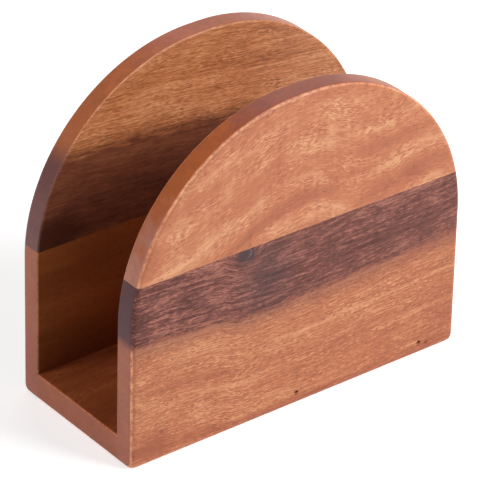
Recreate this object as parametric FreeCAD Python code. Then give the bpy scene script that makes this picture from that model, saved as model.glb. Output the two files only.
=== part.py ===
import FreeCAD, Part
import os

# Napkin holder in edge-glued acacia, millimetres.
#
# Two arched plates stand on the long edges of a base board and hold the napkins upright between
# them.  Each plate is glued up from two staves with the grain running along X, and is glued and
# nailed to the base.  The arrises were rounded after assembly, so the rounding runs unbroken over
# the joints: here the whole holder is shaped as one blank, and the blank is then parted along its
# glue lines into the boards it is made of.
#
# Frame: X along the plates, Y across the slot (front plate at -Y), Z up.  The origin is the middle
# of the underside, on the surface that the holder stands on.

# ---------------------------------------------------------------- driving dimensions
LENGTH = 150.0                # plates and base, end to end
SLOT_WIDTH = 48.5             # clear gap between the plates
PLATE_THICKNESS = 9.25
BASE_THICKNESS = 11.2
SIDE_HEIGHT = 57.5            # upright ends of a plate, up to where its arch springs
CROWN_FLAT = 4.0              # level stretch at the top, between the two quarter rounds

FRONT_SEAM_HEIGHT = 75.2      # glue line of the front plate, at the middle of its length
FRONT_SEAM_SLOPE = -0.010     # rise per millimetre towards +X
BACK_SEAM_HEIGHT = 62.0       # glue line of the back plate
BACK_SEAM_SLOPE = -0.014

OUTER_EDGE_RADIUS = 1.8       # rounded arrises all round the outside
LOWER_EDGE_EXTRA = 0.7        # the long lower edges are rounded by this much more
SLOT_EDGE_RADIUS = 0.8        # eased edges around the mouth of the slot
CORNER_RADIUS = 5.0           # ball that the four lower corners are sanded to
CORNER_INSET = 4.0            # middle of that ball, in from each of the three faces

NAIL_WIDTH = 1.3              # headless brads of flat wire, through each plate into the base
NAIL_GAUGE = 1.0
NAIL_LENGTH = 20.0
NAIL_POINT_LENGTH = 1.8       # chisel point
NAIL_SET_DEPTH = 0.7          # how far a nail is driven below the face of the plate
NAIL_END_DISTANCE = 17.0      # from the end of the base to the outer nails
NAILS_PER_PLATE = 3

# ---------------------------------------------------------------- derived sizes
HALF_LENGTH = LENGTH / 2
HALF_SLOT = SLOT_WIDTH / 2
HALF_DEPTH = HALF_SLOT + PLATE_THICKNESS
ARCH_RADIUS = (LENGTH - CROWN_FLAT) / 2
HEIGHT = SIDE_HEIGHT + ARCH_RADIUS
LOWER_EDGE_RADIUS = OUTER_EDGE_RADIUS + LOWER_EDGE_EXTRA
NAIL_HEIGHT = BASE_THICKNESS / 2
CLEAR = LENGTH                # how far cutting bodies reach past the holder
TOLERANCE = 1e-4


def prism(edges, direction):
    """Solid swept from the closed outline that the edges make."""
    return Part.Face(Part.Wire(Part.__sortEdges__(edges))).extrude(direction)


def polygon(points):
    """Straight edges from point to point and back to the first."""
    return [Part.makeLine(a, b) for a, b in zip(points, points[1:] + points[:1])]


def quarter_round(centre, start, middle_direction, end):
    """Arc of a quarter turn about centre, bulging along middle_direction."""
    radius = (start - centre).Length
    middle = centre + FreeCAD.Vector(middle_direction).normalize() * radius
    return Part.Arc(start, middle, end).toShape()


# ---------------------------------------------------------------- the blank
def arch_body():
    """Front view of the holder: upright ends, then two quarter rounds and a short level crown."""
    y = -CLEAR
    flat = CROWN_FLAT / 2

    def at(x, z):
        return FreeCAD.Vector(x, y, z)

    edges = [
        Part.makeLine(at(-HALF_LENGTH, 0), at(HALF_LENGTH, 0)),
        Part.makeLine(at(HALF_LENGTH, 0), at(HALF_LENGTH, SIDE_HEIGHT)),
        quarter_round(at(flat, SIDE_HEIGHT), at(HALF_LENGTH, SIDE_HEIGHT), (1, 0, 1), at(flat, HEIGHT)),
        Part.makeLine(at(flat, HEIGHT), at(-flat, HEIGHT)),
        quarter_round(at(-flat, SIDE_HEIGHT), at(-flat, HEIGHT), (-1, 0, 1), at(-HALF_LENGTH, SIDE_HEIGHT)),
        Part.makeLine(at(-HALF_LENGTH, SIDE_HEIGHT), at(-HALF_LENGTH, 0)),
    ]
    return prism(edges, FreeCAD.Vector(0, 2 * CLEAR, 0))


def trough_body():
    """End view of the holder: an upright U whose two lower outer corners are rounded."""
    x = -CLEAR
    radius = LOWER_EDGE_RADIUS
    foot = HALF_DEPTH - radius

    def at(y, z):
        return FreeCAD.Vector(x, y, z)

    edges = [
        Part.makeLine(at(-foot, 0), at(foot, 0)),
        quarter_round(at(foot, radius), at(foot, 0), (0, 1, -1), at(HALF_DEPTH, radius)),
        Part.makeLine(at(HALF_DEPTH, radius), at(HALF_DEPTH, HEIGHT)),
        Part.makeLine(at(HALF_DEPTH, HEIGHT), at(HALF_SLOT, HEIGHT)),
        Part.makeLine(at(HALF_SLOT, HEIGHT), at(HALF_SLOT, BASE_THICKNESS)),
        Part.makeLine(at(HALF_SLOT, BASE_THICKNESS), at(-HALF_SLOT, BASE_THICKNESS)),
        Part.makeLine(at(-HALF_SLOT, BASE_THICKNESS), at(-HALF_SLOT, HEIGHT)),
        Part.makeLine(at(-HALF_SLOT, HEIGHT), at(-HALF_DEPTH, HEIGHT)),
        Part.makeLine(at(-HALF_DEPTH, HEIGHT), at(-HALF_DEPTH, radius)),
        quarter_round(at(-foot, radius), at(-HALF_DEPTH, radius), (0, -1, -1), at(-foot, 0)),
    ]
    return prism(edges, FreeCAD.Vector(2 * CLEAR, 0, 0))


def edge_middle(edge):
    """Point half way along an edge."""
    return edge.valueAt((edge.FirstParameter + edge.LastParameter) / 2)


def near(value, target):
    """True where a coordinate lies on a plane of the blank."""
    return abs(value - target) < TOLERANCE


def is_outer_arris(edge):
    """Edges around the outer faces and around the ends of the underside."""
    middle = edge_middle(edge)
    on_outer_face = near(abs(middle.y), HALF_DEPTH) and middle.z > LOWER_EDGE_RADIUS + TOLERANCE
    on_end_below = near(abs(middle.x), HALF_LENGTH) and middle.z < LOWER_EDGE_RADIUS
    return on_outer_face or on_end_below


def is_slot_arris(edge):
    """Edges around the mouth of the slot: the plates' inner outlines and the base's upper ends."""
    middle = edge_middle(edge)
    on_inner_face = near(abs(middle.y), HALF_SLOT) and middle.z > BASE_THICKNESS + TOLERANCE
    on_base_end = near(abs(middle.x), HALF_LENGTH) and near(middle.z, BASE_THICKNESS)
    return on_inner_face or on_base_end


def corner_waste(side_x, side_y):
    """What sanding takes off a lower corner: a block at the corner, less the ball that is left."""
    middle = FreeCAD.Vector(side_x * (HALF_LENGTH - CORNER_INSET), side_y * (HALF_DEPTH - CORNER_INSET),
                            CORNER_INSET)
    low = FreeCAD.Vector(min(middle.x, side_x * HALF_LENGTH), min(middle.y, side_y * HALF_DEPTH), 0)
    block = Part.makeBox(CORNER_INSET, CORNER_INSET, CORNER_INSET, low)
    return block.cut(Part.makeSphere(CORNER_RADIUS, middle))


def rounded_blank():
    """The whole holder in one piece, with its arrises rounded and its lower corners sanded."""
    blank = arch_body().common(trough_body()).Solids[0]
    blank = blank.makeFillet(OUTER_EDGE_RADIUS, [e for e in blank.Edges if is_outer_arris(e)])
    blank = blank.makeFillet(SLOT_EDGE_RADIUS, [e for e in blank.Edges if is_slot_arris(e)])
    for side_x in (-1, 1):
        for side_y in (-1, 1):
            blank = blank.cut(corner_waste(side_x, side_y))
    return blank


# ---------------------------------------------------------------- parting the blank into boards
def across(y_low, y_high):
    """Cutting block between two planes across Y."""
    corner = FreeCAD.Vector(-CLEAR, y_low, -CLEAR)
    return Part.makeBox(2 * CLEAR, y_high - y_low, 3 * CLEAR, corner)


def above_seam(height, slope):
    """Cutting block above a glue line that passes the middle at a height and climbs along X."""
    points = [
        FreeCAD.Vector(-CLEAR, -CLEAR, height - slope * CLEAR),
        FreeCAD.Vector(CLEAR, -CLEAR, height + slope * CLEAR),
        FreeCAD.Vector(CLEAR, -CLEAR, height + 2 * CLEAR),
        FreeCAD.Vector(-CLEAR, -CLEAR, height + 2 * CLEAR),
    ]
    return prism(polygon(points), FreeCAD.Vector(0, 2 * CLEAR, 0))


def staves(plate, seam_height, seam_slope):
    """Lower and upper stave of a plate, which meet along its glue line."""
    upper_block = above_seam(seam_height, seam_slope)
    return plate.cut(upper_block), plate.common(upper_block)


# ---------------------------------------------------------------- nails
def nail_places():
    """X of each nail of a plate: the outer ones near the ends, the rest evenly between."""
    reach = HALF_LENGTH - NAIL_END_DISTANCE
    step = 2 * reach / (NAILS_PER_PLATE - 1)
    return [-reach + step * index for index in range(NAILS_PER_PLATE)]


def nail(x, side):
    """Headless brad driven from the outer face of the plate on that side (-1 front, +1 back)."""
    head = side * (HALF_DEPTH - NAIL_SET_DEPTH)
    shoulder = head - side * (NAIL_LENGTH - NAIL_POINT_LENGTH)
    tip = head - side * NAIL_LENGTH
    upper = NAIL_HEIGHT + NAIL_GAUGE / 2
    lower = NAIL_HEIGHT - NAIL_GAUGE / 2
    profile = [(head, upper), (shoulder, upper), (tip, NAIL_HEIGHT), (shoulder, lower), (head, lower)]
    points = [FreeCAD.Vector(x - NAIL_WIDTH / 2, y, z) for y, z in profile]
    return prism(polygon(points), FreeCAD.Vector(NAIL_WIDTH, 0, 0))


def set_hole(x, side):
    """Short hole that a nail leaves above it where it is driven below the face."""
    head = side * (HALF_DEPTH - NAIL_SET_DEPTH)
    mouth = head + side * (NAIL_SET_DEPTH + OUTER_EDGE_RADIUS)
    corner = FreeCAD.Vector(x - NAIL_WIDTH / 2, min(head, mouth), NAIL_HEIGHT - NAIL_GAUGE / 2)
    return Part.makeBox(NAIL_WIDTH, abs(mouth - head), NAIL_GAUGE, corner)


def drilled(board, nails, holes):
    """Board with the space of its nails and set holes taken out."""
    for tool in nails + holes:
        board = board.cut(tool)
    return board.removeSplitter()


# ---------------------------------------------------------------- build and write
def build():
    """Every node of the holder: boards as single solids, each row of nails as a group."""
    blank = rounded_blank()
    front_plate = blank.common(across(-CLEAR, -HALF_SLOT))
    back_plate = blank.common(across(HALF_SLOT, CLEAR))
    base = blank.common(across(-HALF_SLOT, HALF_SLOT))
    front_lower, front_upper = staves(front_plate, FRONT_SEAM_HEIGHT, FRONT_SEAM_SLOPE)
    back_lower, back_upper = staves(back_plate, BACK_SEAM_HEIGHT, BACK_SEAM_SLOPE)

    front_nails = [nail(x, -1) for x in nail_places()]
    back_nails = [nail(x, 1) for x in nail_places()]
    front_holes = [set_hole(x, -1) for x in nail_places()]
    back_holes = [set_hole(x, 1) for x in nail_places()]

    return {
        "base_board": drilled(base, front_nails + back_nails, []),
        "front_lower_stave": drilled(front_lower, front_nails, front_holes),
        "front_upper_stave": front_upper,
        "back_lower_stave": drilled(back_lower, back_nails, back_holes),
        "back_upper_stave": back_upper,
        "front_nails": Part.makeCompound(front_nails),
        "back_nails": Part.makeCompound(back_nails),
    }


def write(nodes):
    """One STEP file per node."""
    os.makedirs("parts", exist_ok=True)
    for name, shape in nodes.items():
        single = shape.Solids[0] if len(shape.Solids) == 1 else shape
        single.exportStep(os.path.join("parts", name + ".step"))
        box = shape.BoundBox
        print(f"{name}: {len(shape.Solids)} solid(s), valid {shape.isValid()}, {shape.Volume:.1f} mm3,"
              f" x {box.XMin:.2f}..{box.XMax:.2f} y {box.YMin:.2f}..{box.YMax:.2f}"
              f" z {box.ZMin:.2f}..{box.ZMax:.2f}")


write(build())
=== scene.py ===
"""Napkin holder of oiled acacia: the finish of every board and nail, soft studio light and the camera.

Lengths are in millimetres, unless a class or function says otherwise.
"""

import logging
import math
from dataclasses import dataclass, field
from enum import Enum
from typing import Callable

import bmesh
import bpy
from mathutils import Euler, Matrix, Vector


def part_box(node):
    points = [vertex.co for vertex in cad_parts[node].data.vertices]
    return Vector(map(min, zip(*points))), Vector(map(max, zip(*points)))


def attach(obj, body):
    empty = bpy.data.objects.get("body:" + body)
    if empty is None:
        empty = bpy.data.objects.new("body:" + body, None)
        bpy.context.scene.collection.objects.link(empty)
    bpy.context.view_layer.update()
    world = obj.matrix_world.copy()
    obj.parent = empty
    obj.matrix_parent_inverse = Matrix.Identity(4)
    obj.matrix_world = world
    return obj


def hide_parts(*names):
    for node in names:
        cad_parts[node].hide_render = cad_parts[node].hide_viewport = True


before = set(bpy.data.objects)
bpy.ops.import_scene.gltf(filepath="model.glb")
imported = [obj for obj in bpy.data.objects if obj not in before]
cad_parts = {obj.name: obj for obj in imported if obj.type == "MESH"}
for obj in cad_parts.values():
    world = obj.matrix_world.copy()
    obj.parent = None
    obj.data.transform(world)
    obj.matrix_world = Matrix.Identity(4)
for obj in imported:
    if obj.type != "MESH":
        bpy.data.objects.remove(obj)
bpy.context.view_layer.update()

log = logging.getLogger("napkin_holder")

Face = bmesh.types.BMFace
Mesh = bmesh.types.BMesh
Socket = bpy.types.NodeSocket
Range = tuple[float, float]
Place = tuple[float, float, float]

MM = 0.001
HALF_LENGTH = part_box("base_board")[1].x / MM
# Places that lie closer than this, in millimetres, count as one.
NEAR = 0.001
# The two sides of a plane of symmetry, and the holder's own directions.
SIDES = (-1.0, 1.0)
ALONG = Vector((1.0, 0.0, 0.0))
ACROSS = Vector((0.0, 1.0, 0.0))
UP = Vector((0.0, 0.0, 1.0))
# Where nearly all of a noise lies, and how strong each finer octave is beside the one before.
NOISE_SPAN = (0.3, 0.7)
NOISE_ROUGHNESS = 0.55
# Settings that many nodes share.
SMOOTH = {"interpolation_type": "SMOOTHSTEP"}
COLOURS = {"data_type": "RGBA"}


def linear(code: str) -> tuple[float, float, float, float]:
    """Turns an sRGB hex code into the linear colour that a shader takes.

    Args:
        code: Six hex digits after a hash.

    Returns:
        Red, green, blue and a full alpha.
    """
    shares = [int(code[i:i + 2], 16) / 255 for i in (1, 3, 5)]
    red, green, blue = [s / 12.92 if s <= 0.04045 else ((s + 0.055) / 1.055) ** 2.4 for s in shares]
    return red, green, blue, 1.0


class Recipe:
    """The node tree of one material, filled a node at a time."""

    def __init__(self, name: str) -> None:
        """Starts an empty material.

        Args:
            name: The material's name.
        """
        self.material = bpy.data.materials.new(name)
        self.material.use_nodes = True
        self.tree = self.material.node_tree
        self.tree.nodes.clear()

    def add(self, kind: str, *feeds: object, take: int | str = 0, **named: object) -> Socket | None:
        """Adds a node with its settings and links.

        Args:
            kind: The node's type without its ShaderNode prefix, then a colon and its operation if it has one.
            feeds: What the inputs in use take, in order: a socket, a value, or None to leave one as it is.
            take: The output to give back, by its place among those in use or by its name.
            named: Settings in small letters, and further inputs by name, each with a capital.

        Returns:
            The output asked for, if the node has any.
        """
        kind, _, operation = kind.partition(":")
        node = self.tree.nodes.new("ShaderNode" + kind)
        if operation:
            node.operation = operation
        inputs = {}
        for name, value in named.items():
            if name[0].isupper():
                inputs[name.replace("_", " ")] = value
            else:
                setattr(node, name, value)
        used = [socket for socket in node.inputs if socket.enabled]
        pairs = list(zip(used, feeds))
        pairs += [(socket, inputs[socket.name]) for socket in used if socket.name in inputs]
        for socket, value in pairs:
            if isinstance(value, Socket):
                self.tree.links.new(value, socket)
            elif value is not None:
                socket.default_value = value
        outputs = [socket for socket in node.outputs if socket.enabled]
        if not outputs:
            return None
        return outputs[take] if isinstance(take, int) else node.outputs[take]


class Side(Enum):
    """On which side of its edge the heartwood of a stave lies."""

    ABOVE = 1.0
    BELOW = -1.0


class Cut(Enum):
    """The axis that a board's broad faces look along."""

    UPRIGHT = "Y"
    LEVEL = "Z"


@dataclass(frozen=True)
class Grain:
    """How the fibres run through one board, and how much they sway."""

    sweep: tuple[Range, ...]
    shift: Place
    sway: float = 1.6
    sway_length: float = 38.0
    sway_slimness: float = 2.2


@dataclass(frozen=True)
class Layer:
    """One size of streak or cloud in the wood."""

    length: float
    width: float
    strength: float
    detail: float = 2.0


@dataclass(frozen=True)
class Figure:
    """Pale growth lines along a board, which come and go in patches."""

    level: float
    spacing: float
    sharpness: float
    strength: float
    patch_length: float = 26.0
    patch_width: float = 7.0
    patch_span: Range = (0.38, 0.62)


@dataclass(frozen=True)
class Flecks:
    """Short flecks where the fibres ripple, gathered in patches of paler wood."""

    length: float = 1.9
    width: float = 0.55
    patch_length: float = 12.0
    patch_width: float = 5.0
    strength: float = 0.5
    patch_span: Range = (0.4, 0.65)
    between_patches: float = 0.15
    tone_span: Range = (0.2, 0.9)
    tone_gain: Range = (0.3, 1.2)


@dataclass(frozen=True)
class Pores:
    """Open pores cut along their length, seen as clusters of fine dark dashes."""

    length: float = 3.0
    width: float = 0.55
    colour: str = "#A87868"
    share: float = 0.6
    dash_span: Range = (0.45, 0.1)
    cluster_length: float = 20.0
    cluster_width: float = 5.0
    cluster_span: Range = (0.35, 0.65)
    between_clusters: float = 0.3


@dataclass(frozen=True)
class Patch:
    """An ellipse on a board's face, by its middle and half its size."""

    along: float
    level: float
    half_length: float
    half_height: float


@dataclass(frozen=True)
class Accent(Patch):
    """A soft patch of paler or darker wood, which in places is painted shade and light."""

    strength: float
    fade_out: float = 1.3


@dataclass(frozen=True)
class Stain(Patch):
    """A spot that steel has darkened under the oil."""

    half_length: float = 1.7
    half_height: float = 1.6
    colour: str = "#BC8C6C"


@dataclass(frozen=True)
class Knot(Patch):
    """A small sound knot that the fibres bend round, and the smoky wood beside it.

    The spans say how near to the knot's middle something lies, from 0 where it fades out to 1 there.
    """

    colour: str
    ring: str
    smoke: Accent
    reach: float = 11.0
    bend: float = 4.0
    raggedness: float = 3.4
    rag_size: float = 2.6
    fade_out: float = 1.5
    outline_span: Range = (0.05, 0.55)
    cover: float = 0.92
    ring_outer_span: Range = (0.62, 0.74)
    ring_inner_span: Range = (0.9, 0.78)
    ring_onset: float = 1.0
    ring_share: float = 0.55


@dataclass(frozen=True)
class Heartwood:
    """The dark heart of the log where one stave cuts through it.

    The contrast of its streaks changes along the board, between the two places of its span.
    """

    edge: float
    side: Side
    feather: float
    edge_feather: float
    raggedness: float
    contrast: Range
    deep: str
    mid: str
    pale: str
    halo: str
    halo_width: float
    accents: tuple[Accent, ...]
    halo_overlap: float = 0.5
    halo_share: Range = (0.0, 0.6)
    contrast_span: Range = (-60.0, 7.5)
    layers: tuple[Layer, ...] = (Layer(40.0, 6.0, 0.35), Layer(11.0, 0.9, 0.9, 3.0), Layer(2.2, 0.5, 0.45),
                                 Layer(8.0, 5.0, 0.3))


@dataclass(frozen=True)
class Edges:
    """The narrow edges of a board: its top, where an arch cuts the fibres aslant, its ends, the heart.

    The slant and end spans say how much the surface faces along the board, the rim span how little it
    faces as the broad faces do.
    """

    # The top colour is painted shade in part: it is darker than the slant's for the little light on the
    # upturned crown.
    top: str
    slant: str
    end: str
    heart: str = "#5E4446"
    slant_span: Range = (0.15, 0.6)
    end_span: Range = (0.76, 0.96)
    rim_span: Range = (0.5, 0.24)
    cover: float = 0.94
    blotch_size: float = 7.0
    blotch: float = 0.1
    blotch_shade: float = 0.8
    fine_size: float = 1.4
    fine_span: Range = (0.25, 0.75)
    fine_shade: Range = (0.9, 1.1)


@dataclass(frozen=True)
class RubbedAndHighlit:
    """Arrises smoothed by rubbing as the oil was wiped off, with a painted highlight: a pale colour and a
    brightening, partly the real paleness of that rubbing, a little unevenly.

    The spans say how much the surface faces as the broad faces do, where a face ends and an edge starts.
    """

    # The colour, share and brightening below paint a highlight on the arrises, partly for their real paleness
    # from rubbing.
    colour: str = "#F0AE86"
    share: float = 0.5
    gain: float = 0.8
    roughness: float = 0.27
    face_span: Range = (0.84, 0.68)
    edge_span: Range = (0.2, 0.42)
    speckle_size: float = 1.6
    speckle_span: Range = (0.3, 0.64)
    least: float = 0.1


@dataclass(frozen=True)
class Acacia:
    """Planed acacia, sanded and wiped with oil: warm salmon brown, fine dark pores and a satin sheen.

    The relief is how deep the open pores are, and that of the fibres is a share of it.
    """

    name: str
    grain: Grain
    dark: str
    body: str
    light: str
    edges: Edges
    figure: Figure
    layers: tuple[Layer, ...]
    flecks: Flecks
    cut: Cut = Cut.UPRIGHT
    pores: Pores = Pores()
    accents: tuple[Accent, ...] = ()
    heart: Heartwood | None = None
    knot: Knot | None = None
    stains: tuple[Stain, ...] = ()
    rubbed_and_highlit: RubbedAndHighlit = RubbedAndHighlit()
    roughness: float = 0.4
    refraction: float = 1.37
    relief: float = 0.12
    relief_strength: float = 0.5
    fibre_relief: float = 0.35

    def mix(self) -> bpy.types.Material:
        """Builds the finish as a material for the board's slot."""
        return AcaciaRecipe(self).fill()


class AcaciaRecipe(Recipe):
    """The nodes of one board's acacia, and the places that its patterns read, all in millimetres."""

    def __init__(self, wood: Acacia) -> None:
        """Starts the material.

        Args:
            wood: How this board's wood looks.
        """
        super().__init__(wood.name)
        self.wood = wood
        place = self.add("TexCoord", take="Object")
        self.place = self.add("VectorMath:SCALE", place, Scale=1 / MM)
        self.grain_place = self._bend_space()
        self.level_place = self.add("VectorMath:SUBTRACT", self.grain_place, wood.grain.shift)
        facing = self.add("TexCoord", take="Normal")
        self.facing = self.add("VectorMath:ABSOLUTE", facing)

    def fill(self) -> bpy.types.Material:
        """Builds the wood from its streaks out to its oiled surface.

        Returns:
            The material.
        """
        wood = self.wood
        tone = self._growth_lines(self._tone(wood.layers))
        for accent in wood.accents:
            tone = self._accent(tone, accent)
        tone = self._flecks(tone)
        colour = self._blend_three(tone, wood.dark, wood.body, wood.light)
        edge_heart = 0.0
        if wood.heart:
            colour, edge_heart = self._heartwood(colour, wood.heart)
        if wood.knot:
            colour = self._knot(colour, wood.knot)
        for stain in wood.stains:
            colour = self._stain(colour, stain)
        pores = self._pores()
        colour = self.add("Mix", pores, colour, linear(wood.pores.colour), **COLOURS, blend_type="MULTIPLY")
        colour = self._edges(colour, edge_heart)
        arris = self._arris()
        # The arrises take a painted highlight, partly real paleness from rubbing.
        colour = self._paint_arris_highlight(colour, arris, edge_heart)
        self._surface(colour, pores, tone, arris)
        return self.material

    def _bend_space(self) -> Socket:
        """Bends space so that the growth lines lie level, round a knot too.

        Returns:
            The bent place, shifted to this board's part of the log.
        """
        grain = self.wood.grain
        knot = self.wood.knot
        along = self.add("SeparateXYZ", self.place)
        share = self.add("MapRange", along, -HALF_LENGTH, HALF_LENGTH)
        curve = self.add("FloatCurve", 1.0, share)
        top = max(rise for _, rise in grain.sweep)
        points = curve.node.mapping.curves[0].points
        spots = [((x + HALF_LENGTH) / (2 * HALF_LENGTH), rise / top) for x, rise in grain.sweep]
        points[0].location = spots[0]
        points[1].location = spots[-1]
        for spot in spots[1:-1]:
            points.new(*spot)
        curve.node.mapping.update()
        rise = self.add("Math:MULTIPLY", curve, top)
        moved = self.add("VectorMath:ADD", self.place, grain.shift)
        sway = self._noise(moved, grain.sway_length, grain.sway_length / grain.sway_slimness, take="Color")
        sway = self.add("VectorMath:SUBTRACT", sway, (0.5, 0.5, 0.5))
        sway = self.add("VectorMath:MULTIPLY", sway, (0.0, 2 * grain.sway, 2 * grain.sway))
        if knot:
            near = self._near(self.place, Patch(knot.along, knot.level, knot.reach, knot.reach))
            rise = self.add("Math:MULTIPLY_ADD", near, -knot.bend, rise)
        drop = self.add("CombineXYZ", 0.0, 0.0, rise)
        bent = self.add("VectorMath:SUBTRACT", moved, drop)
        return self.add("VectorMath:ADD", bent, sway)

    def _noise(self, place: Socket, length: float, width: float, detail: float = 2.0,
               take: int | str = 0) -> Socket:
        """Gives a noise stretched along the fibres.

        Args:
            place: The place that it reads.
            length: The size of its features along the fibres.
            width: Their size across the fibres.
            detail: How many finer octaves it has.
            take: The output to give back.

        Returns:
            The noise, about 0.5.
        """
        shrink = (1 / length, 1 / width, 1 / width)
        spread = self.add("VectorMath:MULTIPLY", place, shrink)
        return self.add("TexNoise", spread, Scale=1.0, Detail=detail, Roughness=NOISE_ROUGHNESS, take=take)

    def _near(self, place: Socket, patch: Patch, fade_out: float = 1.0) -> Socket:
        """Gives how near a place is to the middle of a patch.

        Args:
            place: The place that it reads.
            patch: The patch.
            fade_out: How many times the patch's size it reaches.

        Returns:
            1 in the middle, falling softly to 0 where it ends.
        """
        shrink = (1 / (fade_out * patch.half_length), 0.0, 1 / (fade_out * patch.half_height))
        offset = self.add("VectorMath:SUBTRACT", place, (patch.along, 0.0, patch.level))
        offset = self.add("VectorMath:MULTIPLY", offset, shrink)
        distance = self.add("VectorMath:LENGTH", offset)
        return self.add("MapRange", distance, 1.0, 0.0, **SMOOTH)

    def _blend_three(self, tone: Socket, dark: str, body: str, light: str) -> Socket:
        """Turns a tone into a colour.

        Args:
            tone: The tone, 0 to 1.
            dark: The colour at 0.
            body: The colour at a half.
            light: The colour at 1.

        Returns:
            The colour.
        """
        low = self.add("MapRange", tone, 0.0, 0.5)
        high = self.add("MapRange", tone, 0.5, 1.0)
        colour = self.add("Mix", low, linear(dark), linear(body), **COLOURS)
        return self.add("Mix", high, colour, linear(light), **COLOURS)

    def _tone(self, layers: tuple[Layer, ...]) -> Socket:
        """Adds up streaks and clouds of the wood.

        Args:
            layers: Their sizes and strengths.

        Returns:
            A tone about 0.5, lower where the wood is darker.
        """
        tone = 0.5 - sum(layer.strength for layer in layers)
        for layer in layers:
            cloud = self._noise(self.grain_place, layer.length, layer.width, layer.detail)
            tone = self.add("Math:MULTIPLY_ADD", cloud, 2 * layer.strength, tone)
        return tone

    def _growth_lines(self, tone: Socket) -> Socket:
        """Adds pale lines at an even spacing, which come and go along the board.

        Args:
            tone: The tone so far.

        Returns:
            The tone with the lines.
        """
        figure = self.wood.figure
        level = self.add("SeparateXYZ", self.level_place, take="Z")
        turn = self.add("Math:SUBTRACT", level, figure.level)
        turn = self.add("Math:MULTIPLY", turn, 2 * math.pi / figure.spacing)
        wave = self.add("Math:COSINE", turn)
        wave = self.add("MapRange", wave, -1.0, 1.0)
        wave = self.add("Math:POWER", wave, figure.sharpness)
        patch = self._noise(self.grain_place, figure.patch_length, figure.patch_width)
        patch = self.add("MapRange", patch, *figure.patch_span, 0.0, figure.strength)
        lines = self.add("Math:MULTIPLY", wave, patch)
        return self.add("Math:ADD", tone, lines)

    def _accent(self, tone: Socket, accent: Accent) -> Socket:
        """Adds one soft patch to the tone."""
        near = self._near(self.level_place, accent, accent.fade_out)
        return self.add("Math:MULTIPLY_ADD", near, accent.strength, tone)

    def _flecks(self, tone: Socket) -> Socket:
        """Adds short flecks to the tone, in patches and more of them in the paler wood.

        Args:
            tone: The tone so far.

        Returns:
            The tone with the flecks.
        """
        flecks = self.wood.flecks
        fleck = self._noise(self.grain_place, flecks.length, flecks.width, detail=1.0)
        fleck = self.add("MapRange", fleck, *NOISE_SPAN, -flecks.strength, flecks.strength)
        patch = self._noise(self.grain_place, flecks.patch_length, flecks.patch_width, detail=1.0)
        patch = self.add("MapRange", patch, *flecks.patch_span, flecks.between_patches, 1.0, **SMOOTH)
        pale = self.add("MapRange", tone, *flecks.tone_span, *flecks.tone_gain)
        patch = self.add("Math:MULTIPLY", patch, pale)
        return self.add("Math:MULTIPLY_ADD", fleck, patch, tone)

    def _heartwood(self, colour: Socket, heart: Heartwood) -> tuple[Socket, Socket]:
        """Lays the dark heart over the wood, with an edge ragged by its own streaks and a reddish halo.

        Args:
            colour: The wood outside the heart.
            heart: How the heart looks.

        Returns:
            The colour with the heart, and the softer share of heart that the edges show.
        """
        spots = self.add("SeparateXYZ", self.level_place).node.outputs
        contrast = self.add("MapRange", spots["X"], *heart.contrast_span, *heart.contrast)
        streaks = self.add("Math:SUBTRACT", self._tone(heart.layers), 0.5)
        lines = self.add("Math:MULTIPLY_ADD", streaks, contrast, 0.5)
        for accent in heart.accents:
            lines = self._accent(lines, accent)
        depth = self.add("Math:SUBTRACT", spots["Z"], heart.edge)
        depth = self.add("Math:MULTIPLY", depth, heart.side.value)
        soft = self.add("MapRange", depth, -heart.edge_feather, heart.edge_feather, **SMOOTH)
        depth = self.add("Math:MULTIPLY_ADD", streaks, -heart.raggedness, depth)
        halo = self.add("MapRange", depth, -heart.halo_width, heart.halo_overlap, *heart.halo_share,
                        **SMOOTH)
        share = self.add("MapRange", depth, -heart.feather, heart.feather, **SMOOTH)
        colour = self.add("Mix", halo, colour, linear(heart.halo), **COLOURS)
        wood = self._blend_three(lines, heart.deep, heart.mid, heart.pale)
        return self.add("Mix", share, colour, wood, **COLOURS), soft

    def _knot(self, colour: Socket, knot: Knot) -> Socket:
        """Lays a knot with a ragged outline, a pale ring on its right and smoky wood beyond.

        Args:
            colour: The wood about the knot.
            knot: How the knot looks.

        Returns:
            The colour with the knot.
        """
        haze = self._near(self.place, knot.smoke)
        haze = self.add("Math:MULTIPLY", haze, knot.smoke.strength)
        colour = self.add("Mix", haze, colour, linear(knot.colour), **COLOURS)
        rag = self._noise(self.place, knot.rag_size, knot.rag_size, take="Color")
        rag = self.add("VectorMath:SUBTRACT", rag, (0.5, 0.5, 0.5))
        ragged = self.add("VectorMath:MULTIPLY_ADD", rag, (knot.raggedness,) * 3, self.place)
        near = self._near(ragged, knot, knot.fade_out)
        share = self.add("MapRange", near, *knot.outline_span, 0.0, knot.cover)
        colour = self.add("Mix", share, colour, linear(knot.colour), **COLOURS)
        past_outer = self.add("MapRange", near, *knot.ring_outer_span)
        before_inner = self.add("MapRange", near, *knot.ring_inner_span)
        right = self.add("SeparateXYZ", self.place)
        right = self.add("MapRange", right, knot.along, knot.along + knot.ring_onset, 0.0, knot.ring_share)
        ring = self.add("Math:MULTIPLY", past_outer, before_inner)
        ring = self.add("Math:MULTIPLY", ring, right)
        return self.add("Mix", ring, colour, linear(knot.ring), **COLOURS)

    def _stain(self, colour: Socket, stain: Stain) -> Socket:
        """Darkens the wood where a nail or a chip of one has stained it."""
        near = self._near(self.place, stain)
        return self.add("Mix", near, colour, linear(stain.colour), **COLOURS, blend_type="MULTIPLY")

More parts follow.
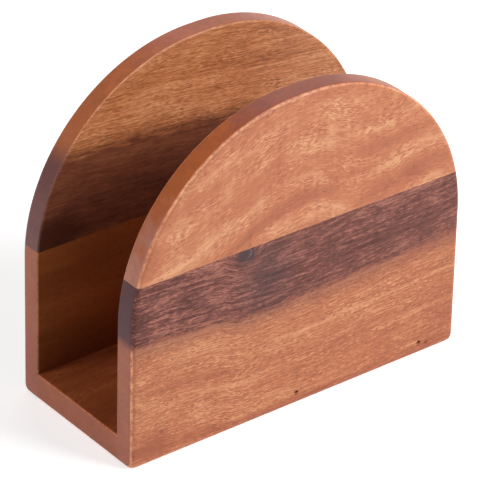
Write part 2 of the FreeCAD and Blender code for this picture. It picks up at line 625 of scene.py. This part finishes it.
    def _pores(self) -> Socket:
        """Gives the open pores, fine dashes that come in clusters.

        Returns:
            1 in a pore, 0 beside it.
        """
        pores = self.wood.pores
        shrink = (1 / pores.length, 1 / pores.width, 1 / pores.width)
        stretched = self.add("VectorMath:MULTIPLY", self.grain_place, shrink)
        cell = self.add("TexVoronoi", stretched, Scale=1.0).node.outputs
        dash = self.add("MapRange", cell["Distance"], *pores.dash_span)
        chance = self.add("SeparateXYZ", cell["Color"])
        chance = self.add("MapRange", chance, 1.0 - pores.share, 1.0)
        cluster = self._noise(self.grain_place, pores.cluster_length, pores.cluster_width)
        cluster = self.add("MapRange", cluster, *pores.cluster_span, pores.between_clusters, 1.0)
        dash = self.add("Math:MULTIPLY", dash, cluster)
        return self.add("Math:MULTIPLY", dash, chance)

    def _edges(self, colour: Socket, heart: Socket | float) -> Socket:
        """Colours the narrow edges, where the fibres are cut across and the oil goes deeper, with painted
        shade in the darker colour of the upturned top.

        Args:
            colour: The broad faces.
            heart: The share of heartwood.

        Returns:
            The colour all round the board.
        """
        edges = self.wood.edges
        looks = self.add("SeparateXYZ", self.facing).node.outputs
        blotch = self._noise(self.place, edges.blotch_size, edges.blotch_size)
        blotch = self.add("MapRange", blotch, *NOISE_SPAN, -edges.blotch, edges.blotch)
        ends = self.add("Math:ADD", looks["X"], blotch)
        slant = self.add("MapRange", ends, *edges.slant_span, **SMOOTH)
        upright = self.add("MapRange", ends, *edges.end_span, **SMOOTH)
        # The top colour holds painted shade for the upturned crown.
        edge = self.add("Mix", slant, linear(edges.top), linear(edges.slant), **COLOURS)
        edge = self.add("Mix", upright, edge, linear(edges.end), **COLOURS)
        edge = self.add("Mix", heart, edge, linear(edges.heart), **COLOURS)
        fine = self._noise(self.place, edges.fine_size, edges.fine_size, detail=3.0)
        fine = self.add("MapRange", fine, *edges.fine_span, *edges.fine_shade)
        shade = self.add("Math:MULTIPLY_ADD", blotch, edges.blotch_shade, fine)
        edge = self.add("VectorMath:SCALE", edge, Scale=shade)
        rim = self.add("MapRange", looks[self.wood.cut.value], *edges.rim_span, 0.0, edges.cover, **SMOOTH)
        return self.add("Mix", rim, colour, edge, **COLOURS)

    def _arris(self) -> Socket:
        """Gives where an arris lies, for its smoother surface and its painted highlight.

        Returns:
            1 in the middle of an arris, a little unevenly, 0 on the faces and edges.
        """
        rubbed_and_highlit = self.wood.rubbed_and_highlit
        broad = self.add("SeparateXYZ", self.facing, take=self.wood.cut.value)
        past_face = self.add("MapRange", broad, *rubbed_and_highlit.face_span, **SMOOTH)
        before_edge = self.add("MapRange", broad, *rubbed_and_highlit.edge_span, **SMOOTH)
        arris = self.add("Math:MULTIPLY", past_face, before_edge)
        speckle = self._noise(self.place, rubbed_and_highlit.speckle_size, rubbed_and_highlit.speckle_size)
        speckle = self.add("MapRange", speckle, *rubbed_and_highlit.speckle_span, rubbed_and_highlit.least, 1.0)
        return self.add("Math:MULTIPLY", arris, speckle)

    def _paint_arris_highlight(self, colour: Socket, arris: Socket, heart: Socket | float) -> Socket:
        """Paints a highlight on the arrises, a pale colour and a brightening for the light and sheen that
        they catch, partly their real paleness from rubbing, except on the heartwood.

        Args:
            colour: The colour all round the board.
            arris: Where an arris is, to take the painted highlight.
            heart: The share of heartwood.

        Returns:
            The colour with the pale arrises.
        """
        rubbed_and_highlit = self.wood.rubbed_and_highlit
        share = self.add("MapRange", heart, 0.0, 1.0, rubbed_and_highlit.share, 0.0)
        wear_and_highlight = self.add("Math:MULTIPLY", arris, share)
        # Painted highlight: pale colour and brightening on the arrises, partly real paleness from rubbing.
        colour = self.add("Mix", wear_and_highlight, colour, linear(rubbed_and_highlit.colour), **COLOURS)
        gain = self.add("Math:MULTIPLY_ADD", wear_and_highlight, rubbed_and_highlit.gain, 1.0)
        return self.add("VectorMath:SCALE", colour, Scale=gain)

    def _surface(self, colour: Socket, pores: Socket, tone: Socket, arris: Socket) -> None:
        """Finishes the wood with a thin oil film, open pores, fibres just felt and smoother arrises.

        Args:
            colour: The colour of the wood.
            pores: Where the open pores are.
            tone: The tone of the fibres, which stand up a little where they are pale.
            arris: Where an arris is, which is smoother.
        """
        wood = self.wood
        relief = self.add("Math:MULTIPLY", pores, -1.0)
        relief = self.add("Math:MULTIPLY_ADD", tone, wood.fibre_relief, relief)
        bump = self.add("Bump", Strength=wood.relief_strength, Distance=wood.relief * MM, Height=relief)
        sheen = self.add("MapRange", arris, 0.0, 1.0, wood.roughness, wood.rubbed_and_highlit.roughness)
        shader = self.add("BsdfPrincipled", Base_Color=colour, Roughness=sheen, IOR=wood.refraction,
                          Normal=bump)
        self.add("OutputMaterial", Surface=shader)


@dataclass(frozen=True)
class BrownedSteelPaintedLight:
    """Drawn steel wire under a thin brown oxide: dull and reddish, its colour lifted to a bright orange as
    painted light against the shade of its pocket, so that a sunk head hardly shows.

    The scratches of the drawing are counted per millimetre.
    """

    name: str = "browned_steel_wire_painted_light"
    # This bright orange is painted light in part, lifting the head out of the shade of its pocket.
    colour: str = "#DC8038"
    metal_share: float = 0.1
    roughness: float = 0.55
    roughness_spread: float = 0.1
    scratches_along: float = 0.9
    scratches_across: float = 9.0
    relief: float = 0.02
    relief_strength: float = 0.3

    def mix(self) -> bpy.types.Material:
        """Builds the finish as a material.

        Returns:
            The material, ready for the nails' slot.
        """
        recipe = Recipe(self.name)
        place = recipe.add("TexCoord", take="Object")
        counts = (self.scratches_across / MM, self.scratches_along / MM, self.scratches_across / MM)
        stretched = recipe.add("VectorMath:MULTIPLY", place, counts)
        scratch = recipe.add("TexNoise", stretched, Scale=1.0, Detail=2.0)
        rough = recipe.add("MapRange", scratch, *NOISE_SPAN, self.roughness - self.roughness_spread,
                           self.roughness + self.roughness_spread)
        bump = recipe.add("Bump", Strength=self.relief_strength, Distance=self.relief * MM, Height=scratch)
        shader = recipe.add("BsdfPrincipled", Base_Color=linear(self.colour), Metallic=self.metal_share,
                            Roughness=rough, Normal=bump)
        recipe.add("OutputMaterial", Surface=shader)
        return recipe.material


def slice_at(mesh: Mesh, point: Vector, normal: Vector, faces: list[Face] | None = None,
             clear: bool = False) -> None:
    """Cuts a mesh along a plane.

    Args:
        mesh: The mesh.
        point: A point of the plane.
        normal: The way that the plane looks.
        faces: The faces to cut, or None for the whole mesh.
        clear: Whether the part that the normal points to is taken away.
    """
    if faces is None:
        parts = mesh.verts[:] + mesh.edges[:] + mesh.faces[:]
    else:
        rims = dict.fromkeys(part for face in faces for part in (*face.edges, *face.verts))
        parts = faces + list(rims)
    bmesh.ops.bisect_plane(mesh, geom=parts, dist=NEAR, plane_co=point, plane_no=normal, clear_outer=clear)


def is_at(value: float, target: float) -> bool:
    """Tells whether two coordinates are the same."""
    return abs(value - target) < NEAR


class Plane(Enum):
    """The side of the slot that a plate stands on, as the sign of its Y."""

    FRONT = -1.0
    BACK = 1.0


@dataclass
class Blank:
    """The whole holder in one piece, rounded before it is parted into boards."""

    half_length: float = HALF_LENGTH
    half_depth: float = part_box("back_upper_stave")[1].y / MM
    height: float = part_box("back_upper_stave")[1].z / MM
    half_slot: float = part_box("base_board")[1].y / MM
    base_thickness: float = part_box("base_board")[1].z / MM
    crown_flat: float = 4.0
    outer_radius: float = 1.8
    lower_radius: float = 2.5
    slot_radius: float = 0.8
    corner_radius: float = 5.0
    corner_inset: float = 4.0
    arch_steps: int = 72
    round_steps: int = 6

    def shape(self) -> Mesh:
        """Models the blank.

        Returns:
            A closed mesh.
        """
        blank = bmesh.new()
        self._extrude_arch(blank)
        self._open_slot(blank)
        self._round(blank, self.lower_radius, self._is_lower_edge)
        self._round(blank, self.outer_radius, self._is_outer_arris)
        self._round(blank, self.slot_radius, self._is_slot_arris)
        self._sand_corners(blank)
        return blank

    def _extrude_arch(self, blank: Mesh) -> None:
        """Draws the arched front view and extrudes it from the front face to the back face.

        Args:
            blank: The empty mesh.
        """
        flat = self.crown_flat / 2
        spring = self.height - (self.half_length - flat)
        crowns = []
        feet = []
        for side in SIDES:
            foot = blank.verts.new((side * self.half_length, -self.half_depth, 0.0))
            shoulder = blank.verts.new((side * self.half_length, -self.half_depth, spring))
            blank.edges.new((foot, shoulder))
            turn = bmesh.ops.spin(blank, geom=[shoulder], cent=(side * flat, -self.half_depth, spring),
                                  axis=(0.0, -side, 0.0), angle=math.pi / 2, steps=self.arch_steps)
            crowns += [item for item in turn["geom_last"] if isinstance(item, bmesh.types.BMVert)]
            feet.append(foot)
        blank.edges.new(crowns)
        blank.edges.new(feet)
        bmesh.ops.contextual_create(blank, geom=blank.edges[:])
        grown = bmesh.ops.extrude_face_region(blank, geom=blank.faces[:])
        far = [item for item in grown["geom"] if isinstance(item, bmesh.types.BMVert)]
        bmesh.ops.translate(blank, verts=far, vec=(0.0, 2 * self.half_depth, 0.0))
        bmesh.ops.recalc_face_normals(blank, faces=blank.faces[:])

    def _open_slot(self, blank: Mesh) -> None:
        """Takes the slot out, from the top down to the base board and through both ends.

        Args:
            blank: The arched prism.
        """
        for side in SIDES:
            slice_at(blank, side * self.half_slot * ACROSS, ACROSS)
        middle = [face for face in blank.faces if self._is_between(face.calc_center_median())]
        slice_at(blank, self.base_thickness * UP, UP, middle)
        waste = [face for face in blank.faces if self._is_between(face.calc_center_median())
                 and face.calc_center_median().z > self.base_thickness]
        bmesh.ops.delete(blank, geom=waste, context="FACES")
        corners = [vert for vert in blank.verts if is_at(vert.co.z, self.base_thickness)]
        for side in SIDES:
            pair = [vert for vert in corners if vert.co.y * side > 0]
            bmesh.ops.contextual_create(blank, geom=pair)
        for side in SIDES:
            wall = [edge for edge in blank.edges
                    if all(is_at(vert.co.y, side * self.half_slot) for vert in edge.verts)
                    and min(vert.co.z for vert in edge.verts) > self.base_thickness - NEAR]
            bmesh.ops.contextual_create(blank, geom=wall)
        floor = [edge for edge in blank.edges
                 if all(is_at(vert.co.z, self.base_thickness) for vert in edge.verts)]
        bmesh.ops.contextual_create(blank, geom=floor)
        bmesh.ops.recalc_face_normals(blank, faces=blank.faces[:])

    def _round(self, blank: Mesh, radius: float, choose: Callable[[Vector], bool]) -> None:
        """Rounds edges.

        Args:
            blank: The mesh in work.
            radius: How round they become.
            choose: Tells from an edge's middle whether it is one of them.
        """
        edges = [edge for edge in blank.edges if choose((edge.verts[0].co + edge.verts[1].co) / 2)]
        bmesh.ops.bevel(blank, geom=edges, offset=radius, offset_type="OFFSET", affect="EDGES",
                        segments=self.round_steps, profile=0.5, material=-1)

    def _sand_corners(self, blank: Mesh) -> None:
        """Sands the four lower corners to a ball whose middle lies in from the three faces.

        Args:
            blank: The mesh in work.
        """
        middle = Vector((self.half_length - self.corner_inset, self.half_depth - self.corner_inset,
                         self.corner_inset))
        for side in SIDES:
            slice_at(blank, side * middle.x * ALONG, ALONG)
        for side in SIDES:
            slice_at(blank, side * middle.y * ACROSS, ACROSS)
        slice_at(blank, middle.z * UP, UP)
        for vert in blank.verts:
            out = Vector((abs(vert.co.x) - middle.x, abs(vert.co.y) - middle.y, middle.z - vert.co.z))
            if min(out) > 0 and out.length > self.corner_radius:
                out.length = self.corner_radius
                vert.co = (math.copysign(middle.x + out.x, vert.co.x),
                           math.copysign(middle.y + out.y, vert.co.y), middle.z - out.z)

    def _is_between(self, middle: Vector) -> bool:
        """Picks what lies between the walls of the slot."""
        return abs(middle.y) < self.half_slot - NEAR

    def _is_lower_edge(self, middle: Vector) -> bool:
        """Picks the two long edges of the underside."""
        return is_at(abs(middle.y), self.half_depth) and is_at(middle.z, 0.0)

    def _is_outer_arris(self, middle: Vector) -> bool:
        """Picks the outline of the outer faces and the ends of the underside.

        Args:
            middle: An edge's middle.

        Returns:
            Whether the edge is one of them.
        """
        on_outer_face = is_at(abs(middle.y), self.half_depth) and middle.z > self.lower_radius + NEAR
        on_end_below = is_at(abs(middle.x), self.half_length) and middle.z < self.lower_radius
        return on_outer_face or on_end_below

    def _is_slot_arris(self, middle: Vector) -> bool:
        """Picks the inner outlines of the plates and the upper ends of the base.

        Args:
            middle: An edge's middle.

        Returns:
            Whether the edge is one of them.
        """
        on_wall = is_at(abs(middle.y), self.half_slot) and middle.z > self.base_thickness + NEAR
        at_end = is_at(abs(middle.x), self.half_length)
        on_base_end = at_end and is_at(middle.z, self.base_thickness) and self._is_between(middle)
        return on_wall or on_base_end


@dataclass(frozen=True)
class SetHoles:
    """The short pockets above nails driven a little below the face."""

    places: tuple[float, ...] = (-58.0, 0.0, 58.0)
    height: float = 5.6
    width: float = 1.3
    gauge: float = 1.0
    depth: float = 0.7

    def sink(self, board: Mesh, face_y: float) -> None:
        """Sinks the pockets into an outer face.

        Args:
            board: The board's mesh.
            face_y: Where the outer face lies.
        """
        cuts = [(x + side * self.width / 2, ALONG) for x in self.places for side in SIDES]
        cuts += [(self.height + side * self.gauge / 2, UP) for side in SIDES]
        for place, normal in cuts:
            outside = [face for face in board.faces if self._is_flat(face, face_y)]
            slice_at(board, place * normal, normal, outside)
        mouths = [face for face in board.faces if self._is_flat(face, face_y) and self._is_mouth(face)]
        sunk = bmesh.ops.extrude_discrete_faces(board, faces=mouths)
        floors = {vert for face in sunk["faces"] for vert in face.verts}
        inward = -math.copysign(self.depth, face_y)
        bmesh.ops.translate(board, verts=list(floors), vec=(0.0, inward, 0.0))

    def _is_flat(self, face: Face, face_y: float) -> bool:
        """Tells whether a face of the mesh is part of the board's outer face."""
        return all(is_at(vert.co.y, face_y) for vert in face.verts)

    def _is_mouth(self, face: Face) -> bool:
        """Tells whether a face of the mesh is the mouth of a pocket.

        Args:
            face: A part of the board's outer face.

        Returns:
            Whether it lies where a nail was driven.
        """
        middle = face.calc_center_median()
        level = abs(middle.z - self.height) < self.gauge / 2
        return level and any(abs(middle.x - x) < self.width / 2 for x in self.places)


@dataclass
class Plate:
    """An arched plate, glued up from a lower and an upper stave."""

    plane: Plane
    lower: Acacia
    upper: Acacia
    seam_height: float
    seam_slope: float
    holes: SetHoles = SetHoles()
    sharp_angle: float = math.radians(40)
    merge_distance: float = 0.0005

    def build(self, blank: Blank) -> None:
        """Parts both staves from the blank and gives them their finish.

        Args:
            blank: The whole holder in one piece.
        """
        name = self.plane.name.lower()
        solid = blank.shape()
        self._cut(solid, self.plane.value * blank.half_slot * ACROSS, -self.plane.value * ACROSS)
        lower = solid.copy()
        upwards = Vector((-self.seam_slope, 0.0, 1.0)).normalized()
        self._cut(lower, self.seam_height * UP, upwards)
        self._cut(solid, self.seam_height * UP, -upwards)
        self.holes.sink(lower, self.plane.value * blank.half_depth)
        self._finish(lower, name + "_lower_stave", self.lower)
        self._finish(solid, name + "_upper_stave", self.upper)

    def _cut(self, solid: Mesh, point: Vector, away: Vector) -> None:
        """Cuts off what lies past a plane and closes the cut.

        Args:
            solid: The mesh to cut.
            point: A point of the plane.
            away: The direction of what is cut off.
        """
        slice_at(solid, point, away, clear=True)
        rim = [edge for edge in solid.edges if edge.is_boundary]
        bmesh.ops.holes_fill(solid, edges=rim, sides=0)

    def _finish(self, solid: Mesh, node: str, finish: Acacia) -> None:
        """Turns a mesh into the board that stands for a piece of the frame.

        Args:
            solid: The board's mesh, which is used up.
            node: The piece's name in the frame.
            finish: The board's finish.
        """
        bmesh.ops.remove_doubles(solid, verts=solid.verts[:], dist=self.merge_distance)
        bmesh.ops.recalc_face_normals(solid, faces=solid.faces[:])
        for edge in solid.edges:
            edge.smooth = edge.calc_face_angle(0.0) < self.sharp_angle
        for face in solid.faces:
            face.smooth = True
        bmesh.ops.scale(solid, vec=(MM, MM, MM), verts=solid.verts[:])
        mesh = bpy.data.meshes.new(node + "_board")
        solid.to_mesh(mesh)
        solid.free()
        board = bpy.data.objects.new(node + "_board", mesh)
        bpy.context.scene.collection.objects.link(board)
        normals = board.modifiers.new("flat_faces_stay_flat", "WEIGHTED_NORMAL")
        normals.keep_sharp = True
        mesh.materials.append(finish.mix())
        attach(board, "root")
        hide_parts(node)
        log.info("%s: %s, %d faces", board.name, finish.name, len(mesh.polygons))


@dataclass
class BaseBoard:
    """The base board, which keeps its shape and takes its finish."""

    finish: Acacia
    node: str = "base_board"

    def dress(self) -> None:
        """Gives the board its finish."""
        give(self.node, self.finish.mix())


def give(node: str, material: bpy.types.Material) -> None:
    """Puts a material on a piece of the frame.

    Args:
        node: The piece's name.
        material: Its finish.
    """
    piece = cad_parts[node]
    piece.data.materials.clear()
    piece.data.materials.append(material)
    low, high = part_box(node)
    size = " x ".join(f"{length / MM:.1f}" for length in high - low)
    log.info("%s: %s, %s mm", node, material.name, size)


@dataclass
class NailRows:
    """The headless nails that hold the plates to the base."""

    nodes: tuple[str, ...] = ("front_nails", "back_nails")
    finish: BrownedSteelPaintedLight = field(default_factory=BrownedSteelPaintedLight)

    def dress(self) -> None:
        """Gives all nails the same steel."""
        steel = self.finish.mix()
        for node in self.nodes:
            give(node, steel)


def looking_at(aim: Vector, azimuth: float, elevation: float, distance: float, roll: float = 0.0) -> Matrix:
    """Gives the place and turn of something that looks at the object.

    Args:
        aim: The point that it looks at.
        azimuth: Degrees round the object from the front, positive towards its right end.
        elevation: Degrees above the floor.
        distance: Metres from the point.
        roll: Degrees about its own line of sight.

    Returns:
        A matrix whose minus Z axis is the line of sight.
    """
    swing = Euler((math.radians(90 - elevation), 0.0, math.radians(azimuth))).to_matrix()
    turn = swing @ Matrix.Rotation(math.radians(roll), 3, "Z")
    return Matrix.LocRotScale(aim + turn @ Vector((0.0, 0.0, distance)), turn, None)


@dataclass
class Lamp:
    """A soft box that looks at the middle of the object; lengths in metres, angles in degrees."""

    name: str
    azimuth: float
    elevation: float
    distance: float
    width: float
    height: float
    power: float
    only_sheen: bool = False

    def place(self, aim: Vector) -> None:
        """Hangs the lamp.

        Args:
            aim: The point that it looks at.
        """
        light = bpy.data.lights.new(self.name, "AREA")
        light.shape = "RECTANGLE"
        light.size = self.width
        light.size_y = self.height
        light.energy = self.power
        lamp = bpy.data.objects.new(self.name, light)
        lamp.matrix_world = looking_at(aim, self.azimuth, self.elevation, self.distance)
        lamp.visible_diffuse = not self.only_sheen
        bpy.context.scene.collection.objects.link(lamp)


@dataclass
class Studio:
    """A pale floor, a dim even sky and soft boxes; lengths in metres."""

    aim: Vector = field(default_factory=lambda: Vector((0.0, 0.0, 65.0)) * MM)
    floor_size: float = 24.0
    floor_colour: str = "#F3F3F3"
    floor_lift: float = 0.62
    sky_level: float = 0.13
    lamps: tuple[Lamp, ...] = (
        Lamp("key", 35.0, 37.0, 1.5, 0.75, 0.75, 18.6),
        Lamp("left_fill", -104.0, 14.0, 1.5, 0.5, 0.5, 8.0),
        Lamp("back", 142.0, 38.0, 1.6, 1.0, 0.5, 3.0),
        Lamp("arris_card", -20.0, 42.0, 1.5, 1.4, 0.8, 14.0, only_sheen=True),
        Lamp("backdrop_card", 130.0, 6.0, 2.0, 2.5, 0.6, 6.0, only_sheen=True),
    )

    def build(self) -> None:
        """Lays the floor, lights the sky and hangs the lamps."""
        self._lay_floor()
        self._light_sky()
        for lamp in self.lamps:
            lamp.place(self.aim)
        bpy.context.scene.view_settings.view_transform = "Standard"

    def _lay_floor(self) -> None:
        """Lays the floor, which a camera sees a little lighter, with its shadows kept."""
        mesh = bpy.data.meshes.new("floor")
        shape = bmesh.new()
        bmesh.ops.create_grid(shape, x_segments=1, y_segments=1, size=self.floor_size / 2)
        shape.to_mesh(mesh)
        shape.free()
        floor = bpy.data.objects.new("floor", mesh)
        bpy.context.scene.collection.objects.link(floor)
        recipe = Recipe("matt_white_board")
        paint = recipe.add("BsdfDiffuse", Color=linear(self.floor_colour))
        rays = recipe.add("LightPath").node.outputs
        lift = recipe.add("Math:MAXIMUM", rays["Is Camera Ray"], rays["Is Glossy Ray"])
        lift = recipe.add("Math:MULTIPLY", lift, self.floor_lift)
        glow = recipe.add("Emission", Strength=lift)
        recipe.add("OutputMaterial", Surface=recipe.add("AddShader", paint, glow))
        mesh.materials.append(recipe.material)

    def _light_sky(self) -> None:
        """Lights the sky evenly and dimly."""
        world = bpy.data.worlds.new("even_sky")
        world.use_nodes = True
        nodes = world.node_tree.nodes
        nodes["Background"].inputs["Strength"].default_value = self.sky_level
        nodes["Background"].inputs["Color"].default_value = (1.0, 1.0, 1.0, 1.0)
        bpy.context.scene.world = world


@dataclass
class ViewCamera:
    """A long lens that looks down on the open left end of the holder.

    The distance is in metres and the angles are in degrees.
    """

    target: Place = (-2.607, -1.261, 55.698)
    azimuth: float = -38.314
    elevation: float = 31.196
    roll: float = 1.386
    distance: float = 1.533
    lens: float = 315.07
    sensor: float = 36.0

    def place(self) -> None:
        """Sets up the camera and makes it the scene's own."""
        data = bpy.data.cameras.new("camera")
        data.lens = self.lens
        data.sensor_width = self.sensor
        data.sensor_fit = "HORIZONTAL"
        camera = bpy.data.objects.new("camera", data)
        aim = Vector(self.target) * MM
        camera.matrix_world = looking_at(aim, self.azimuth, self.elevation, self.distance, self.roll)
        bpy.context.scene.collection.objects.link(camera)
        bpy.context.scene.camera = camera


FRONT_LOWER = Acacia(
    name="oiled_acacia_dark_banded",
    grain=Grain(sweep=((-75, 4.8), (-60, 4.4), (-45, 3.4), (-35, 2.2), (-22, 0), (5, 0), (35, 0.6),
                       (75, 2.4)), shift=(310, 20, 0)),
    dark="#AE6144", body="#CA7D55", light="#E4A276",
    edges=Edges(top="#A86448", slant="#A86448", end="#A75E45", heart="#4F2127"),
    figure=Figure(level=32, spacing=13.5, sharpness=24, strength=0.4, patch_length=45),
    layers=(Layer(60, 9, 0.25, 1), Layer(16, 0.55, 0.6, 2), Layer(2.6, 0.42, 0.6, 1), Layer(9, 6, 0.2)),
    flecks=Flecks(length=1.8, width=0.42, strength=0.6),
    pores=Pores(length=2.2, width=0.45, colour="#8A5A48", share=0.85),
    # The long dark band along the foot, Accent(0, 1.5, 85, 4, -0.4), is painted shade where the board meets
    # the floor.
    accents=(Accent(-68, 3, 14, 6, -0.55), Accent(-40, 25, 22, 3, -0.15), Accent(0, 1.5, 85, 4, -0.4),
             Accent(-45, 37, 18, 6, 0.3), Accent(-44, 10.5, 10, 5, 0.25), Accent(70, 16, 14, 22, -0.25),
             Accent(50, 6, 30, 3, -0.2)),
    heart=Heartwood(
        edge=47.6, side=Side.ABOVE, feather=1.4, edge_feather=3, raggedness=4, contrast=(1.6, 1.15),
        deep="#58261E", mid="#7D463A", pale="#B87565",
        halo="#8E4E42", halo_width=9, halo_share=(0.0, 0.75),
        layers=(Layer(40, 6, 0.18), Layer(11, 0.9, 0.8, 3), Layer(2.2, 0.48, 0.65), Layer(7, 4, 0.22)),
        accents=(Accent(38, 59, 50, 6, -0.2), Accent(-24, 62, 4, 3, 0.15), Accent(48, 73, 30, 4, 0.2),
                 Accent(-42, 70, 12, 4, 0.3), Accent(-74, 58, 10, 10, -0.4))),
    knot=Knot(along=-25, level=73.5, half_length=4.2, half_height=4, colour="#462F35", ring="#856A60",
              smoke=Accent(-15, 62, 19, 24, 0.55)),
    stains=(Stain(0.0, 5.4), Stain(58.0, 5.4), Stain(61.6, 4.3)))
FRONT_UPPER = Acacia(
    name="oiled_acacia_rippled",
    grain=Grain(sweep=((-75, 0), (-50, 4), (-30, 11), (-10, 18), (5, 19.5), (14, 17.5), (24, 14.5),
                       (36, 14), (54, 16.5), (75, 14)), shift=(-175, 60, 0), sway=2.0),
    dark="#B26648", body="#CE7F59", light="#ECAD81",
    edges=Edges(top="#A85946", slant="#C46736", end="#BC7964"),
    figure=Figure(level=76, spacing=14.6, sharpness=1.6, strength=0.26, patch_length=16, patch_width=5),
    layers=(Layer(50, 8, 0.2, 1), Layer(7, 1.2, 0.22, 3), Layer(2.6, 0.42, 0.36), Layer(7, 6, 0.22),
            Layer(4, 32, 0.12, 1)),
    flecks=Flecks(strength=0.42),
    accents=(Accent(4, 59.5, 10, 2.4, 0.12), Accent(7, 87.5, 18, 4, 0.32), Accent(13, 98, 10, 9, 0.25),
             Accent(50, 76, 16, 3.5, 0.18), Accent(40, 91, 18, 3, 0.15), Accent(0, 68.5, 20, 4.5, -0.4),
             Accent(46, 65.5, 28, 5, -0.5), Accent(42, 83.5, 20, 3, -0.3), Accent(-50, 76, 26, 1.3, 0.3),
             Accent(-72, 86, 12, 12, -0.3), Accent(-24, 66.5, 16, 3.5, -0.35), Accent(27, 77, 9, 3, -0.3),
             Accent(-42, 83, 12, 4, 0.15)))
BACK_LOWER = Acacia(
    name="oiled_acacia_plain_painted_shade",
    grain=Grain(sweep=((-75, 2), (0, 0), (75, 3)), shift=(70, -210, 40)),
    # These colours are set darker and redder than the wood as painted shade, for the slot that the stave
    # faces.
    dark="#864922", body="#A0592B", light="#B36A37",
    edges=Edges(top="#A86448", slant="#A86448", end="#A95E45"),
    figure=Figure(level=20, spacing=17, sharpness=4, strength=0.15),
    layers=(Layer(60, 12, 0.4, 1), Layer(14, 1.6, 0.25, 2)),
    flecks=Flecks(strength=0.12),
    rubbed_and_highlit=RubbedAndHighlit(share=0.2),
    # This dark patch low on the left is painted shade in the slot's corner at the base.
    accents=(Accent(-60, 14, 60, 13, -0.6),))
BACK_UPPER = Acacia(
    name="oiled_acacia_golden",
    grain=Grain(sweep=((-75, 14.8), (-60, 14.2), (-40, 13), (-20, 11.8), (0, 9.5), (20, 7), (50, 3),
                       (75, 0)), shift=(-30, 140, 25)),
    dark="#985A36", body="#C97F50", light="#E5A474",
    edges=Edges(top="#C06A4D", slant="#C97247", end="#B06A50", heart="#774743"),
    figure=Figure(level=112, spacing=11, sharpness=3, strength=0.22),
    layers=(Layer(60, 9, 0.3, 1), Layer(18, 0.6, 0.7, 2), Layer(2.6, 0.42, 0.5, 1), Layer(9, 6, 0.2)),
    flecks=Flecks(length=2.0, width=0.42, strength=0.5),
    pores=Pores(length=4.0, width=0.45, colour="#7A4C3A", share=0.9),
    rubbed_and_highlit=RubbedAndHighlit(share=0.25),
    heart=Heartwood(
        edge=84, side=Side.BELOW, feather=2.4, edge_feather=5, raggedness=6, contrast=(0.55, 0.55),
        deep="#50281A", mid="#7C4630", pale="#9C6242", halo="#A0633F", halo_width=7,
        # These patches are painted shade and light: darker low on the left, lighter in a band above, for the
        # front plate's shadow and its soft edge.
        accents=(Accent(-70, 52, 18, 9, -0.8), Accent(-40, 60, 40, 10, -0.25),
                 Accent(-35, 79, 30, 5, 0.3))))
BASE = Acacia(
    name="oiled_acacia_base",
    grain=Grain(sweep=((-75, 1), (0, 0), (75, 2)), shift=(200, 310, -60)),
    dark="#9D502A", body="#BC6437", light="#D47D4B",
    edges=Edges(top="#A65A3C", slant="#A65A3C", end="#A65A3C"),
    figure=Figure(level=4, spacing=9, sharpness=3, strength=0.2),
    cut=Cut.LEVEL,
    layers=(Layer(40, 9, 0.5, 1), Layer(12, 1, 0.4, 3), Layer(9, 6, 0.3)),
    flecks=Flecks(strength=0.2),
    rubbed_and_highlit=RubbedAndHighlit(colour="#E6A48A", share=0.4))


def main() -> None:
    """Dresses the holder, sets the camera and the studio up, and logs each dressed piece."""
    logging.basicConfig(level=logging.INFO, format="%(name)s: %(message)s")
    ViewCamera().place()
    blank = Blank()
    # The left nail of the front is filled over and sanded flush, so it has no pocket.
    front_holes = SetHoles(places=(0.0, 58.0))
    Plate(Plane.FRONT, FRONT_LOWER, FRONT_UPPER, seam_height=75.2, seam_slope=-0.010,
          holes=front_holes).build(blank)
    Plate(Plane.BACK, BACK_LOWER, BACK_UPPER, seam_height=62.0, seam_slope=-0.014).build(blank)
    BaseBoard(BASE).dress()
    NailRows().dress()
    Studio().build()


if __name__ == "__main__":
    main()
